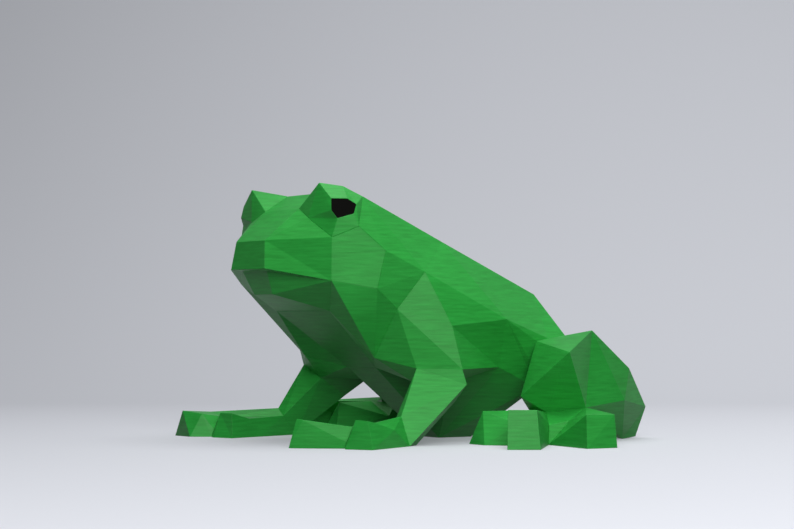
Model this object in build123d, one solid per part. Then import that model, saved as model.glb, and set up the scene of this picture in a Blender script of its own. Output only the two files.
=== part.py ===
from build123d import *
import os

# A frog folded from flat card, standing on its four feet.
# Millimetres, +Z up, nose towards -Y, mirror plane at X = 0, floor at Z = 0.
# Every piece is one sheet of card, creased into flat facets and closed
# edge to edge against its neighbours, so the animal is hollow.

# ---------------------------------------------------------------- dimensions
CARD = 0.5            # thickness of the card
EYE_SET_BACK = 0.25   # how far the black eye card sits behind the green face
SHIFT_Y = 15.0        # puts the middle of the frog's length at Y = 0

# The eye lies flat on one leaning plane.
EYE_X = 61.0          # where the plane stands at EYE_Y, EYE_Z
EYE_Y = -105.0
EYE_Z = 149.0
EYE_TOE_OUT = 0.30    # growth of X per millimetre towards the back
EYE_LEAN = -0.30      # growth of X per millimetre upwards

# Fold points of the left half.  The right half is the mirror image.
HEAD = {
    "nose": (19, -138, 129),
    "lip": (22.5, -140, 111),
    "bridge": (22, -115, 149.5),
    "crown": (20, -99, 160),
    "peak": (44, -113, 165),
    "ridge": (50, -99, 163),
    "brow": (37, -117, 143),
    "ear": (56, -88, 156.5),
    "under_eye": (60, -113, 130),
    "cheekbone": (66, -97, 137),
    "temple": (72, -81, 122),
    "mouth": (59.5, -113, 103),
    "jaw_angle": (70, -86, 98),
    "jaw_top": (16, -135, 110),
    "chin": (12, -128.5, 95),
    "throat": (34, -99.5, 84.5),
}

# Corners of the eye, as distances along Y and Z on the leaning plane.
EYE = {
    "eye_front": (-113, 147),
    "eye_top_front": (-112, 154.5),
    "eye_top_rear": (-102, 154.5),
    "eye_rear": (-97, 151),
    "eye_low_rear": (-99.5, 145),
    "eye_low_front": (-110, 142),
}

BODY = {
    "shoulder": (74, -53, 109),
    "neck": (68, -70, 85.5),
    "back_front": (52, -26, 129.5),
    "back_rear": (42, 55.5, 96),
    "flank": (78, 7.5, 79),
    "hip": (70, 46.5, 66.5),
    "rump": (62, 67, 68),
    "thigh_front": (73, 34.5, 65),
    "waist": (66, 9.5, 48),
    "groin": (60, 44, 34),
    "fold": (66, 41, 42.5),
    "breast": (44, -72, 54.5),
    "keel": (18, -54.5, 47.5),
    "belly_front": (10, 0, 0),
    "belly_rear": (10, 26, 0),
    "seat": (50, 86, 44),
}

TAIL = (0, 90, 58)
VENT = (0, 72, 24)

FORELEG = {
    "arm_rear": (83, -38.5, 75),
    "elbow_rear": (88, -34, 47.5),
    "elbow_low": (90, -32, 38),
    "elbow_front": (71, -57.5, 48),
    "elbow_inner": (57, -52, 39.5),
    "armpit": (52, -18, 38),
    "calf_inner": (68, -26, 26.5),
    "wrist_outer": (78, -73.5, 18.5),
    "wrist_inner": (70, -74, 13.5),
    "palm_outer": (84, -71, 0),
    "palm_inner": (76, -61, 0),
}

HIND_LEG = {
    "knee_top": (108, 53.5, 72),
    "knee_outer": (130, 18.5, 58.5),
    "knee_low": (86, 12.5, 29.5),
    "ankle_outer": (118, 40.5, 23),
    "ankle_front": (98, 24, 19.5),
    "ankle_inner": (80, 23.5, 20.5),
    "ankle_rear": (100, 52, 20),
    "shank_low": (110, 78.5, 26.5),
    "shank_top": (98, 92, 47),
    "heel_top": (88, 114, 21),
    "heel_rear": (82, 110, 1),
    "heel_front": (88, 94, 0),
    "heel_inner": (60, 98, 2),
}

# The feet are glued on by hand and are turned a little differently left
# and right, so each has its own list.  The right lists are already mirrored
# back to positive X.
FRONT_FOOT_LEFT = {
    "toe1_in": (60, -144, 0),
    "toe1_out": (68, -135, 0),
    "toe1_in_top": (63, -140, 18),
    "toe1_out_top": (67, -138, 17.5),
    "web": (82, -117, 0),
    "web_top": (83, -116.5, 4),
    "palm_top": (85, -112, 13),
    "toe2_in": (89, -121, 0),
    "toe2_out": (105, -111, 0),
    "toe2_in_top": (93, -116, 18),
    "toe2_out_top": (103, -113.5, 17.5),
    "instep": (100, -106, 16),
    "instep_low": (93, -88, 11),
    "hollow": (66, -103, 12.5),
    "side": (66, -100, 0),
}
FRONT_FOOT_RIGHT = {
    "toe1_in": (58, -120, 0),
    "toe1_out": (74, -126, 0),
    "toe1_in_top": (60, -119, 16.5),
    "toe1_out_top": (72, -121.5, 16.5),
    "web": (82, -123, 0),
    "web_top": (82, -121, 5),
    "palm_top": (84, -112, 13),
    "toe2_in": (90, -135, 0),
    "toe2_out": (110, -136, 0),
    "toe2_in_top": (88, -127, 15.5),
    "toe2_out_top": (107, -132, 17),
    "instep": (104, -112, 16),
    "instep_low": (95, -88, 11),
    "hollow": (64, -103.5, 12.5),
    "side": (66, -94, 0),
}

HIND_FOOT_LEFT = {
    "toe1_in": (82, -25, 0),
    "toe1_out": (99, -25, 0),
    "toe1_top": (88, -18.5, 21),
    "web1": (113, -13, 0),
    "web1_top": (112, -8, 13.5),
    "toe2_in": (146, -41, 0),
    "toe2_out": (157, -24, 0),
    "toe2_in_top": (144, -39, 24),
    "toe2_out_top": (154, -24.5, 24),
    "web2": (118, 11, 0),
    "web2_top": (118, 11.5, 12.5),
    "toe3_front": (164, 6, 0),
    "toe3_rear": (165, 28.5, 0),
    "toe3_front_top": (160, 8.5, 20.5),
    "toe3_rear_top": (163, 28, 20.5),
    "arch": (126, 21.5, 15.5),
    "instep": (93, 10.5, 21),
    "hollow": (75, 14.5, 11),
    "sole_rear": (104, 56, 0),
    "sole_inner": (74, 32, 0),
}
HIND_FOOT_RIGHT = {
    "toe1_in": (82, -25, 0),
    "toe1_out": (99, -25, 0),
    "toe1_top": (88, -18.5, 21),
    "web1": (104, -18, 0),
    "web1_top": (104, -14, 13),
    "toe2_in": (110, -44, 0),
    "toe2_out": (128, -36, 0),
    "toe2_in_top": (110, -42, 22),
    "toe2_out_top": (127, -34, 22),
    "web2": (120, 4, 0),
    "web2_top": (117, 7, 12),
    "toe3_front": (158, 0, 0),
    "toe3_rear": (165, 20, 0),
    "toe3_front_top": (154, 2, 20),
    "toe3_rear_top": (160, 19, 20),
    "arch": (124, 20, 15.5),
    "instep": (93, 10.5, 21),
    "hollow": (75, 14.5, 11),
    "sole_rear": (104, 56, 0),
    "sole_inner": (74, 32, 0),
}

# ---------------------------------------------------------------- facets
# Each facet is a triangle of fold points.  A name starting with "-" is the
# same point on the other side of the mirror plane.
HEAD_TOP = [
    "nose -nose -bridge", "nose -bridge bridge", "bridge -bridge -crown", "bridge -crown crown",
    "nose -lip -nose", "nose lip -lip",
]
CHEEK = [
    "nose mouth lip", "nose brow under_eye", "nose under_eye mouth", "under_eye temple mouth",
    "mouth temple jaw_angle", "under_eye cheekbone temple", "nose bridge brow",
]
EYE_SOCKET = [
    "brow eye_low_front under_eye", "brow eye_front eye_low_front",
    "eye_low_front eye_low_rear cheekbone", "eye_low_front cheekbone under_eye",
    "eye_rear ear cheekbone", "eye_rear cheekbone eye_low_rear",
    "ridge ear eye_rear", "ridge eye_rear eye_top_rear",
    "peak ridge eye_top_rear", "peak eye_top_rear eye_top_front",
    "peak eye_top_front eye_front", "peak eye_front brow",
    "peak brow bridge", "peak bridge crown", "peak crown ridge", "ridge crown ear",
]
JAW = [
    "lip -jaw_top -lip", "lip jaw_top -jaw_top", "jaw_top -chin -jaw_top", "jaw_top chin -chin",
    "chin -throat -chin", "chin throat -throat",
]
JAW_SIDE = ["lip mouth jaw_top", "jaw_top mouth chin", "chin mouth throat"]
CHEST = ["throat -keel -throat", "throat keel -keel"]
CHEST_SIDE = [
    "throat breast keel", "throat mouth breast", "mouth jaw_angle breast", "jaw_angle neck breast",
]
BELLY = [
    "keel -belly_front -keel", "keel belly_front -belly_front",
    "belly_front -belly_rear -belly_front", "belly_front belly_rear -belly_rear",
    "belly_rear VENT -belly_rear",
]
BELLY_SIDE = [
    "keel armpit belly_front", "armpit elbow_rear waist", "armpit waist belly_front",
    "waist groin belly_front", "belly_front groin belly_rear", "belly_rear groin VENT",
    "groin seat VENT",
]
BACK = [
    "crown -crown -back_front", "crown -back_front back_front",
    "back_front -back_front -back_rear", "back_front -back_rear back_rear",
    "back_rear -back_rear TAIL",
]
BACK_SIDE = ["crown back_front ear", "back_rear TAIL rump", "rump TAIL seat", "TAIL VENT seat"]
FLANK = [
    "ear back_front shoulder", "ear shoulder temple", "ear temple cheekbone",
    "temple shoulder jaw_angle", "jaw_angle shoulder neck",
    "shoulder back_front flank", "shoulder flank arm_rear", "back_front back_rear hip",
    "back_front hip flank", "back_rear rump hip", "flank waist arm_rear",
    "arm_rear waist elbow_rear", "flank groin waist", "flank fold groin",
    "flank thigh_front fold", "flank hip thigh_front",
]
FORELEG_FACETS = [
    "shoulder neck arm_rear", "neck elbow_rear arm_rear", "neck elbow_front elbow_rear",
    "elbow_front elbow_low elbow_rear", "elbow_front wrist_outer elbow_low",
    "wrist_outer palm_outer elbow_low", "neck breast elbow_front",
    "breast elbow_inner elbow_front", "breast keel elbow_inner", "keel armpit elbow_inner",
    "elbow_front elbow_inner wrist_inner", "elbow_front wrist_inner wrist_outer",
    "elbow_inner armpit calf_inner", "elbow_inner calf_inner palm_inner",
    "elbow_inner palm_inner wrist_inner", "armpit elbow_rear elbow_low",
    "armpit elbow_low calf_inner", "calf_inner elbow_low palm_outer",
    "calf_inner palm_outer palm_inner",
]
FRONT_FOOT = [
    "toe1_in toe1_out toe1_out_top", "toe1_in toe1_out_top toe1_in_top",
    "toe1_out web web_top", "toe1_out web_top toe1_out_top",
    "toe1_out_top web_top palm_top", "toe1_out_top palm_top toe1_in_top",
    "toe1_in_top palm_top hollow", "web toe2_in toe2_in_top", "web toe2_in_top web_top",
    "web_top toe2_in_top palm_top", "toe2_in toe2_out toe2_out_top",
    "toe2_in toe2_out_top toe2_in_top", "toe2_in_top toe2_out_top instep",
    "toe2_in_top instep palm_top", "toe2_out instep toe2_out_top",
    "toe2_out instep_low instep", "toe2_out palm_outer instep_low",
    "instep instep_low wrist_outer", "instep_low palm_outer wrist_outer",
    "palm_top instep wrist_outer", "palm_top wrist_outer wrist_inner",
    "palm_top wrist_inner hollow", "toe1_in toe1_in_top hollow", "toe1_in hollow side",
    "side hollow wrist_inner", "side wrist_inner palm_inner", "toe1_in side web",
    "toe1_in web toe1_out", "side palm_inner web", "web palm_inner toe2_in",
    "toe2_in palm_inner palm_outer", "toe2_in palm_outer toe2_out",
]
THIGH = [
    "thigh_front knee_outer knee_top", "thigh_front knee_top hip", "hip knee_top rump",
    "knee_outer ankle_outer knee_top", "knee_top ankle_outer shank_low",
    "knee_top shank_low shank_top", "shank_top shank_low heel_top",
    "ankle_outer heel_front shank_low", "shank_low heel_front heel_top",
    "heel_top heel_front heel_rear", "knee_top shank_top rump", "rump shank_top seat",
    "seat shank_top heel_top", "seat heel_top heel_inner", "heel_inner heel_top heel_rear",
    "heel_front heel_inner heel_rear", "ankle_outer ankle_rear heel_front",
    "ankle_rear heel_inner heel_front", "ankle_rear ankle_inner heel_inner",
    "ankle_inner groin heel_inner", "groin seat heel_inner",
    "knee_low groin ankle_inner", "knee_low fold groin", "thigh_front fold knee_low",
    "thigh_front knee_low knee_outer", "knee_outer knee_low ankle_front",
    "knee_outer ankle_front ankle_outer", "knee_low ankle_inner ankle_front",
]
HIND_FOOT = [
    "toe1_in toe1_out toe1_top", "toe1_out web1 web1_top", "toe1_out web1_top toe1_top",
    "web1 toe2_in toe2_in_top", "web1 toe2_in_top web1_top", "toe2_in toe2_out toe2_out_top",
    "toe2_in toe2_out_top toe2_in_top", "toe2_out web2 web2_top",
    "toe2_out web2_top toe2_out_top", "web2 toe3_front toe3_front_top",
    "web2 toe3_front_top arch", "web2 arch web2_top", "toe3_front toe3_rear toe3_rear_top",
    "toe3_front toe3_rear_top toe3_front_top", "toe3_rear sole_rear ankle_rear",
    "toe3_rear ankle_rear toe3_rear_top", "toe3_front_top toe3_rear_top ankle_outer",
    "toe3_rear_top ankle_rear ankle_outer", "toe3_front_top ankle_outer arch",
    "arch ankle_outer ankle_front", "arch ankle_front web2_top",
    "toe2_out_top web2_top ankle_front", "toe2_out_top ankle_front instep",
    "toe2_in_top toe2_out_top instep", "toe2_in_top instep web1_top",
    "web1_top instep toe1_top", "toe1_top instep hollow", "instep ankle_inner hollow",
    "instep ankle_front ankle_inner", "toe1_in toe1_top hollow", "toe1_in hollow sole_inner",
    "hollow ankle_inner sole_inner", "sole_inner ankle_inner ankle_rear",
    "sole_inner ankle_rear sole_rear", "toe1_in sole_inner toe1_out",
    "toe1_out sole_inner web1", "web1 sole_inner web2", "web1 web2 toe2_in",
    "toe2_in web2 toe2_out", "web2 sole_inner sole_rear", "web2 sole_rear toe3_front",
    "toe3_front sole_rear toe3_rear",
]


# ---------------------------------------------------------------- geometry
def eye_points():
    """Corners of the eye, laid on the leaning eye plane."""
    points = {}
    for name, (y, z) in EYE.items():
        x = EYE_X + EYE_TOE_OUT * (y - EYE_Y) + EYE_LEAN * (z - EYE_Z)
        points[name] = (x, y, z)
    return points


def side_points(front_foot, hind_foot):
    """All the fold points of one half, with the two feet kept apart."""
    points = {**HEAD, **eye_points(), **BODY, **FORELEG, **HIND_LEG}
    for name, place in front_foot.items():
        points["front_" + name] = place
    for name, place in hind_foot.items():
        points["hind_" + name] = place
    return points


def all_points():
    """Fold points of the whole frog; L_ is the left half, R_ the right."""
    points = {"TAIL": Vector(*TAIL), "VENT": Vector(*VENT)}
    for name, (x, y, z) in side_points(FRONT_FOOT_LEFT, HIND_FOOT_LEFT).items():
        points["L_" + name] = Vector(x, y, z)
    for name, (x, y, z) in side_points(FRONT_FOOT_RIGHT, HIND_FOOT_RIGHT).items():
        points["R_" + name] = Vector(-x, y, z)
    return {name: place + Vector(0, SHIFT_Y, 0) for name, place in points.items()}


def full_name(word, side, foot, own):
    """Turn a short name in a facet into the name of one fold point."""
    if word in ("TAIL", "VENT"):
        return word
    if word.startswith("-"):
        side = "R" if side == "L" else "L"
        word = word[1:]
    if foot and word in own:
        word = foot + "_" + word
    return side + "_" + word


def facets(rows, side, foot="", own=()):
    """Read a list of facets for one side of the frog."""
    result = []
    for row in rows:
        result.append(tuple(full_name(word, side, foot, own) for word in row.split()))
    return result


def both(rows):
    """The same facets on the left and on the right."""
    return facets(rows, "L") + facets(rows, "R")


def card_pieces():
    """Every card piece of the frog with its facets."""
    pieces = {
        "head_top": facets(HEAD_TOP, "L"),
        "lower_jaw": facets(JAW, "L") + both(JAW_SIDE),
        "chest": facets(CHEST, "L") + both(CHEST_SIDE),
        "belly": facets(BELLY, "L") + both(BELLY_SIDE),
        "back": facets(BACK, "L") + both(BACK_SIDE),
    }
    for side, word in (("L", "left"), ("R", "right")):
        pieces["cheek_" + word] = facets(CHEEK, side)
        pieces["eye_socket_" + word] = facets(EYE_SOCKET, side)
        pieces["flank_" + word] = facets(FLANK, side)
        pieces["front_leg_" + word] = facets(FORELEG_FACETS, side)
        pieces["front_foot_" + word] = facets(FRONT_FOOT, side, "front", FRONT_FOOT_LEFT)
        pieces["hind_leg_" + word] = facets(THIGH, side)
        pieces["hind_foot_" + word] = facets(HIND_FOOT, side, "hind", HIND_FOOT_LEFT)
    return pieces


def eye_loop(side):
    """The six corners of an eye in order."""
    return [side + "_" + name for name in EYE]


def eye_facets(side):
    """A fan of facets that fills an eye, so the whole skin is closed."""
    loop = eye_loop(side)
    return [(loop[0], loop[i], loop[i + 1]) for i in range(1, len(loop) - 1)]


def orient(triangles, points):
    """Turn every facet the same way round, with its normal outwards."""
    edges = {}
    for number, triangle in enumerate(triangles):
        for i in range(3):
            pair = frozenset((triangle[i], triangle[(i + 1) % 3]))
            edges.setdefault(pair, []).append(number)
    for pair, users in edges.items():
        if len(users) != 2:
            raise ValueError("open or crowded edge " + str(sorted(pair)) + str(len(users)))
    done = {0: triangles[0]}
    queue = [0]
    while queue:
        here = done[queue.pop()]
        for i in range(3):
            a, b = here[i], here[(i + 1) % 3]
            for other in edges[frozenset((a, b))]:
                if other in done:
                    continue
                row = triangles[other]
                place = row.index(a)
                if row[(place + 1) % 3] == b:
                    row = (row[0], row[2], row[1])
                done[other] = row
                queue.append(other)
    result = [done[number] for number in range(len(triangles))]
    volume = sum(points[a].dot(points[b].cross(points[c])) for a, b, c in result)
    if volume < 0:
        result = [(a, c, b) for a, b, c in result]
    return result


def facet_normal(triangle, points):
    a, b, c = [points[name] for name in triangle]
    return (b - a).cross(c - a).normalized()


def inner_points(triangles, points):
    """Each fold point moved in by the thickness of the card."""
    around = {name: [] for name in points}
    for triangle in triangles:
        normal = facet_normal(triangle, points)
        for i in range(3):
            here = points[triangle[i]]
            one = points[triangle[(i + 1) % 3]] - here
            two = points[triangle[(i + 2) % 3]] - here
            around[triangle[i]].append((normal, one.get_angle(two)))
    moved = {}
    for name, normals in around.items():
        if not normals:
            continue
        total = Vector(0, 0, 0)
        for normal, weight in normals:
            total = total + normal * weight
        moved[name] = points[name] - total.normalized() * CARD
    for side, sign in (("L", 1), ("R", -1)):
        normal = Vector(sign, -EYE_TOE_OUT, -EYE_LEAN).normalized()
        for name in eye_loop(side):
            moved[name] = points[name] - normal * CARD
    return moved


def triangle_face(a, b, c):
    return Face(Wire.make_polygon([a, b, c], close=True))


def wall_faces(edge, outer, inner):
    """The cut edge of the card along one edge of a piece."""
    low, high = sorted(edge)
    first = triangle_face(outer[low], outer[high], inner[high])
    second = triangle_face(outer[low], inner[high], inner[low])
    return [first, second]


def solid_from(faces):
    solid = Solid(Shell(faces))
    if solid.volume < 0:
        solid = Solid(Shell([-face for face in faces]))
    return solid


def sheet(triangles, outer, inner):
    """One card piece: outer facets, inner facets and the cut edges."""
    faces = []
    count = {}
    for triangle in triangles:
        faces.append(triangle_face(*[outer[name] for name in triangle]))
        faces.append(triangle_face(*[inner[name] for name in reversed(triangle)]))
        for i in range(3):
            pair = frozenset((triangle[i], triangle[(i + 1) % 3]))
            count[pair] = count.get(pair, 0) + 1
    for pair, uses in count.items():
        if uses == 1:
            faces += wall_faces(pair, outer, inner)
    return solid_from(faces)


def eye_card(side, outer, inner):
    """The flat black card set a little way into the eye opening."""
    share = EYE_SET_BACK / CARD
    loop = eye_loop(side)
    front = [outer[name] + (inner[name] - outer[name]) * share for name in loop]
    back = [inner[name] for name in loop]
    faces = [Face(Wire.make_polygon(front, close=True))]
    faces.append(Face(Wire.make_polygon(back[::-1], close=True)))
    for i in range(len(loop)):
        j = (i + 1) % len(loop)
        corners = [front[i], front[j], back[j], back[i]]
        faces.append(Face(Wire.make_polygon(corners, close=True)))
    return solid_from(faces)


# ---------------------------------------------------------------- build
def main():
    os.makedirs("parts", exist_ok=True)
    outer = all_points()
    pieces = card_pieces()
    skin = []
    for triangles in pieces.values():
        skin += triangles
    skin += eye_facets("L") + eye_facets("R")
    skin = orient(skin, outer)
    inner = inner_points(skin, outer)
    start = 0
    for name, triangles in pieces.items():
        own = skin[start:start + len(triangles)]
        start += len(triangles)
        export_step(sheet(own, outer, inner), "parts/" + name + ".step")
    export_step(eye_card("L", outer, inner), "parts/eye_left.step")
    export_step(eye_card("R", outer, inner), "parts/eye_right.step")


main()
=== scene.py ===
import math

import bpy
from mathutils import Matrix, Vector

bl_info = {
    "name": "Folded card frog",
    "version": (1, 0, 0),
    "blender": (4, 5, 0),
    "location": "3D View > Sidebar > Card Frog",
    "description": "Green and black card finishes, floor, lights and camera for a folded frog",
    "category": "Object",
}

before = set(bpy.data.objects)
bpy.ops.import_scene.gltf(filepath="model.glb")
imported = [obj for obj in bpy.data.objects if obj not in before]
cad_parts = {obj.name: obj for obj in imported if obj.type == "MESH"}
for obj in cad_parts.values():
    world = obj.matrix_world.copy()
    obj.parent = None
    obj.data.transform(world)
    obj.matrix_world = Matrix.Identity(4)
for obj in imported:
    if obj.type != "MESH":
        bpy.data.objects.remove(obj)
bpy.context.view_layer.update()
EYE_NODES = ("eye_left", "eye_right")

CREASE_ANGLE = math.radians(12.0)   # folds flatter than this stay sharp
WELD_GAP = 0.000002                 # joins the loose triangles of a CAD node
GREEN_SHINE = 0.3
BLACK_SHINE = 0.08
BLACK_FIBRES = (0.002, 0.002, 0.002)
BLACK_ROUGHNESS = 0.9

VIEW_TURN = math.radians(57.4)      # the sweep and the camera face the same way
VIEW_TILT = math.radians(91.626)
CAMERA_PLACE = (1.181, -0.767, 0.076)
SWEEP_FAR = 1.5                     # distance from the frog to the back of the sweep
SWEEP_CURVE = 0.9
SWEEP_DIM = (0.06, 0.06, 0.065)     # what the sweep throws back on the frog
# painted light: share of its own colour that the sweep glows with towards the camera, though it is
# no lamp
SWEEP_PAINTED_GLOW = 0.36
SWEEP_PAINTED_SHADE = 0.55                  # painted shade: darkest part of the sweep, as a share of its colour


# ---------------------------------------------------------------- materials
class Value:
    """A shader socket that can be used in sums."""

    def __init__(self, tree, socket):
        self.tree = tree
        self.socket = socket

    def maths(self, operation, first, second):
        node = self.tree.nodes.new("ShaderNodeMath")
        node.operation = operation
        for place, item in enumerate((first, second)):
            if isinstance(item, Value):
                self.tree.links.new(item.socket, node.inputs[place])
            else:
                node.inputs[place].default_value = item
        return Value(self.tree, node.outputs[0])

    def __add__(self, other):
        return self.maths("ADD", self, other)

    def __radd__(self, other):
        return self.maths("ADD", other, self)

    def __sub__(self, other):
        return self.maths("SUBTRACT", self, other)

    def __rsub__(self, other):
        return self.maths("SUBTRACT", other, self)

    def __mul__(self, other):
        return self.maths("MULTIPLY", self, other)

    def __rmul__(self, other):
        return self.maths("MULTIPLY", other, self)


class Finish:
    """A new material and the nodes that make it."""

    def __init__(self, name):
        self.material = bpy.data.materials.new(name)
        self.material.use_nodes = True
        self.tree = self.material.node_tree
        self.shader = self.tree.nodes["Principled BSDF"]

    def node(self, kind, settings=None, inputs=None, output=0):
        """Adds one node: its settings first, then the values or links of its sockets."""
        made = self.tree.nodes.new(kind)
        for key, value in (settings or {}).items():
            setattr(made, key, value)
        for key, value in (inputs or {}).items():
            self.put(made.inputs[key], value)
        return Value(self.tree, made.outputs[output])

    def put(self, socket, value):
        if isinstance(value, Value):
            self.tree.links.new(value.socket, socket)
        else:
            socket.default_value = value

    def set(self, **values):
        for key, value in values.items():
            self.put(self.shader.inputs[key.replace("_", " ")], value)


def fibre(finish, across, along, detail):
    """Fine level streaks, as in coloured card."""
    place = finish.node("ShaderNodeTexCoord", output="Object")
    stretched = finish.node(
        "ShaderNodeMapping", inputs={"Vector": place, "Scale": (across, across, along)}
    )
    return finish.node(
        "ShaderNodeTexNoise",
        inputs={"Vector": stretched, "Scale": 1.0, "Detail": detail, "Roughness": 0.6},
    )


def card_finish(name, colour, dark, roughness, grain, shine):
    """Coloured card: two tones mixed along its fibres, with shallow dents."""
    finish = Finish(name)
    streaks = fibre(finish, 60.0, 700.0, 4.0)
    clouds = fibre(finish, 14.0, 20.0, 2.0)
    amount = (streaks * 0.65 + clouds * 0.35 - 0.5) * grain + 0.5
    mixed = finish.node(
        "ShaderNodeMix",
        {"data_type": "RGBA"},
        {0: amount, 6: (*dark, 1.0), 7: (*colour, 1.0)},
        2,
    )
    dents = finish.node(
        "ShaderNodeBump", inputs={"Strength": 0.2, "Distance": 0.0004, "Height": streaks}
    )
    finish.set(Base_Color=mixed, Roughness=roughness, Normal=dents)
    finish.shader.inputs["Specular IOR Level"].default_value = shine
    return finish.material


def sweep_finish(name, colour, dim, roughness):
    """Pale paper to the eye, which throws less light back on the frog; painted shade darkens it
    across the sweep, and it glows to the camera with painted light though it is no lamp.
    """
    finish = Finish(name)
    rays = "ShaderNodeLightPath"
    seen = finish.node(rays, output="Is Camera Ray")
    seen = seen.maths("MAXIMUM", seen, finish.node(rays, output="Is Glossy Ray"))
    seen = seen.maths("MAXIMUM", seen, finish.node(rays, output="Is Transmission Ray"))
    place = finish.node("ShaderNodeTexCoord", output="Object")
    # painted shade: the sweep's colour darkens along a slant across it
    cross = finish.node(
        "ShaderNodeVectorMath",
        {"operation": "DOT_PRODUCT"},
        {0: place, 1: (0.27, 0.42, -0.30)},
        "Value",
    )
    painted_shade_amount = finish.node(
        "ShaderNodeMath", {"operation": "ADD", "use_clamp": True}, {0: cross, 1: 0.45}
    )
    painted_shade_colour = finish.node(
        "ShaderNodeMix", {"data_type": "RGBA"},
        {0: painted_shade_amount, 6: (*[part * SWEEP_PAINTED_SHADE for part in colour], 1.0), 7: (*colour, 1.0)}, 2,
    )
    shown = finish.node(
        "ShaderNodeMix", {"data_type": "RGBA"}, {0: seen, 6: (*dim, 1.0), 7: painted_shade_colour}, 2
    )
    # painted light: the sweep glows with its painted-shade colour for camera, glossy and
    # transmission rays
    painted_glow = finish.node(
        "ShaderNodeMix",
        {"data_type": "RGBA"},
        {0: seen * SWEEP_PAINTED_GLOW, 6: (0.0, 0.0, 0.0, 1.0), 7: painted_shade_colour},
        2,
    )
    finish.set(Base_Color=shown, Roughness=roughness, Emission_Color=painted_glow, Emission_Strength=1.0)
    finish.shader.inputs["Specular IOR Level"].default_value = 0.0
    return finish.material


# ---------------------------------------------------------------- settings
class CardSettings(bpy.types.PropertyGroup):
    """Colours and surface of the card."""

    green: bpy.props.FloatVectorProperty(
        name="Green card", description="Colour of the body card", subtype="COLOR",
        size=3, min=0.0, max=1.0, default=(0.030, 0.45, 0.062),
    )
    green_dark: bpy.props.FloatVectorProperty(
        name="Green fibres", description="Colour of the darker fibres", subtype="COLOR",
        size=3, min=0.0, max=1.0, default=(0.018, 0.31, 0.038),
    )
    black: bpy.props.FloatVectorProperty(
        name="Black card", description="Colour of the eye card", subtype="COLOR",
        size=3, min=0.0, max=1.0, default=(0.004, 0.004, 0.003),
    )
    roughness: bpy.props.FloatProperty(
        name="Roughness", description="How matt the card is", min=0.0, max=1.0, default=0.48,
        subtype="FACTOR",
    )
    crease: bpy.props.FloatProperty(
        name="Crease width", description="Width of a softened fold or cut edge",
        min=0.0, max=0.001, default=0.0003, subtype="DISTANCE", unit="LENGTH", precision=5,
    )


class StageSettings(bpy.types.PropertyGroup):
    """Floor, lights and camera."""

    floor_colour: bpy.props.FloatVectorProperty(
        name="Floor colour", description="Colour of the paper sweep", subtype="COLOR",
        size=3, min=0.0, max=1.0, default=(0.72, 0.74, 0.80),
    )
    floor_size: bpy.props.FloatProperty(
        name="Floor size", description="Width of the paper sweep", min=1.0, max=20.0,
        default=6.0, subtype="DISTANCE", unit="LENGTH",
    )
    top_power: bpy.props.FloatProperty(
        name="Top light", description="Power of the soft light overhead", min=0.0, max=500.0,
        default=19.0, subtype="POWER", unit="POWER",
    )
    key_power: bpy.props.FloatProperty(
        name="Key light", description="Power of the soft light at the camera side",
        min=0.0, max=500.0, default=19.0, subtype="POWER", unit="POWER",
    )
    lens: bpy.props.FloatProperty(
        name="Lens", description="Focal length of the camera in millimetres", min=10.0,
        max=300.0, default=95.2,
    )


# ---------------------------------------------------------------- pieces
def dress(names, material, width):
    """Gives CAD nodes their card and softens their folds."""
    for name in names:
        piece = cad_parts[name]
        piece.data.materials.clear()
        piece.data.materials.append(material)
        weld = piece.modifiers.new("join", "WELD")
        weld.merge_threshold = WELD_GAP
        soft = piece.modifiers.new("fold", "BEVEL")
        soft.width = width
        soft.segments = 1
        soft.limit_method = "ANGLE"
        soft.angle_limit = CREASE_ANGLE


class CARDFROG_OT_green_card(bpy.types.Operator):
    """Put green card on the body, legs and feet"""

    bl_idname = "cardfrog.green_card"
    bl_label = "Green card"

    def execute(self, context):
        card = context.scene.cardfrog_card
        material = card_finish(
            "green_card", card.green, card.green_dark, card.roughness, 3.2, GREEN_SHINE
        )
        names = [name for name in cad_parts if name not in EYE_NODES]
        dress(names, material, card.crease)
        return {"FINISHED"}


class CARDFROG_OT_black_card(bpy.types.Operator):
    """Put black card behind the eye openings"""

    bl_idname = "cardfrog.black_card"
    bl_label = "Black card"

    def execute(self, context):
        card = context.scene.cardfrog_card
        material = card_finish(
            "black_card", card.black, BLACK_FIBRES, BLACK_ROUGHNESS, 1.0, BLACK_SHINE
        )
        for name in EYE_NODES:
            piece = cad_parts[name]
            piece.data.materials.clear()
            piece.data.materials.append(material)
        return {"FINISHED"}


def area_light(name, place, target, power, size, colour):
    """A square soft light aimed at a point."""
    data = bpy.data.lights.new(name, "AREA")
    data.shape = "SQUARE"
    data.size = size
    data.energy = power
    data.color = colour
    lamp = bpy.data.objects.new(name, data)
    lamp.location = place
    aim = Vector(target) - Vector(place)
    lamp.rotation_euler = aim.to_track_quat("-Z", "Y").to_euler()
    bpy.context.scene.collection.objects.link(lamp)
    return lamp


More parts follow.
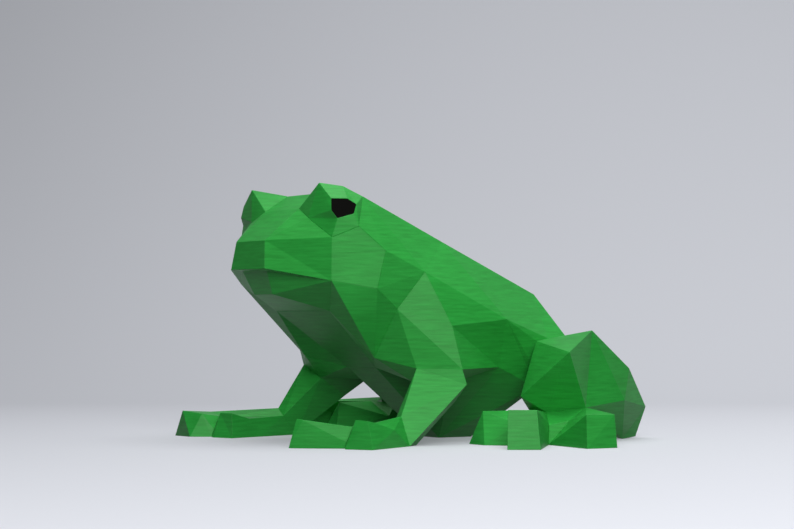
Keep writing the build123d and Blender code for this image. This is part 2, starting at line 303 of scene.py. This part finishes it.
def sweep(settings, turn, far):
    """A paper floor that curves up behind the frog."""
    half = settings.floor_size / 2
    bpy.ops.object.select_all(action="DESELECT")
    bpy.ops.mesh.primitive_plane_add(size=1.0)
    floor = bpy.context.active_object
    floor.name = "paper_sweep"
    for vertex in floor.data.vertices:
        vertex.co.x *= 2 * half
        vertex.co.y = far if vertex.co.y > 0 else -half
    bpy.ops.object.mode_set(mode="EDIT")
    bpy.ops.mesh.select_mode(type="EDGE")
    bpy.ops.mesh.select_all(action="DESELECT")
    bpy.ops.object.mode_set(mode="OBJECT")
    for edge in floor.data.edges:
        edge.select = all(floor.data.vertices[i].co.y > 0 for i in edge.vertices)
    bpy.ops.object.mode_set(mode="EDIT")
    bpy.ops.mesh.extrude_region_move(TRANSFORM_OT_translate={"value": (0, 0, half)})
    bpy.ops.object.mode_set(mode="OBJECT")
    curve = floor.modifiers.new("curve", "BEVEL")
    curve.width = SWEEP_CURVE
    curve.segments = 24
    curve.limit_method = "ANGLE"
    bpy.ops.object.modifier_apply(modifier="curve")
    bpy.ops.object.shade_smooth()
    floor.rotation_euler = (0, 0, turn)
    bpy.ops.object.transform_apply(location=True, rotation=True, scale=True)
    return floor


class CARDFROG_OT_stage(bpy.types.Operator):
    """Make the floor, the lights and the camera"""

    bl_idname = "cardfrog.stage"
    bl_label = "Stage"

    def execute(self, context):
        settings = context.scene.cardfrog_stage
        floor = sweep(settings, VIEW_TURN, SWEEP_FAR)
        paper = sweep_finish("paper_sweep", settings.floor_colour, SWEEP_DIM, 0.9)
        floor.data.materials.append(paper)
        area_light("top_light", (0.1, 0.05, 1.5), (0, 0, 0), settings.top_power, 1.6, (1, 1, 1))
        area_light(
            "key_light", (1.45, -0.75, 0.72), (0, 0, 0.08), settings.key_power, 0.9, (1, 0.99, 0.97)
        )
        world = bpy.data.worlds.new("soft_room")
        world.use_nodes = True
        world.node_tree.nodes["Background"].inputs["Color"].default_value = (0.78, 0.82, 0.9, 1)
        world.node_tree.nodes["Background"].inputs["Strength"].default_value = 0.03
        context.scene.world = world
        data = bpy.data.cameras.new("camera")
        data.lens = settings.lens
        data.sensor_width = 36.0
        data.dof.use_dof = False
        camera = bpy.data.objects.new("camera", data)
        camera.location = CAMERA_PLACE
        camera.rotation_euler = (VIEW_TILT, 0, VIEW_TURN)
        context.scene.collection.objects.link(camera)
        context.scene.camera = camera
        context.scene.view_settings.view_transform = "Standard"
        return {"FINISHED"}


class CARDFROG_PT_panel(bpy.types.Panel):
    """Lists the frog's operators"""

    bl_label = "Card Frog"
    bl_idname = "CARDFROG_PT_panel"
    bl_space_type = "VIEW_3D"
    bl_region_type = "UI"
    bl_category = "Card Frog"

    def draw(self, context):
        for settings in (context.scene.cardfrog_card, context.scene.cardfrog_stage):
            box = self.layout.box()
            for name in settings.__annotations__:
                box.prop(settings, name)
        for operator in OPERATORS:
            self.layout.operator(operator.bl_idname)


OPERATORS = (CARDFROG_OT_green_card, CARDFROG_OT_black_card, CARDFROG_OT_stage)
CLASSES = (CardSettings, StageSettings, *OPERATORS, CARDFROG_PT_panel)


def register():
    for item in CLASSES:
        bpy.utils.register_class(item)
    bpy.types.Scene.cardfrog_card = bpy.props.PointerProperty(type=CardSettings)
    bpy.types.Scene.cardfrog_stage = bpy.props.PointerProperty(type=StageSettings)


def unregister():
    del bpy.types.Scene.cardfrog_stage
    del bpy.types.Scene.cardfrog_card
    for item in reversed(CLASSES):
        bpy.utils.unregister_class(item)


def main():
    register()
    bpy.ops.cardfrog.green_card()
    bpy.ops.cardfrog.black_card()
    bpy.ops.cardfrog.stage()


if __name__ == "__main__":
    main()
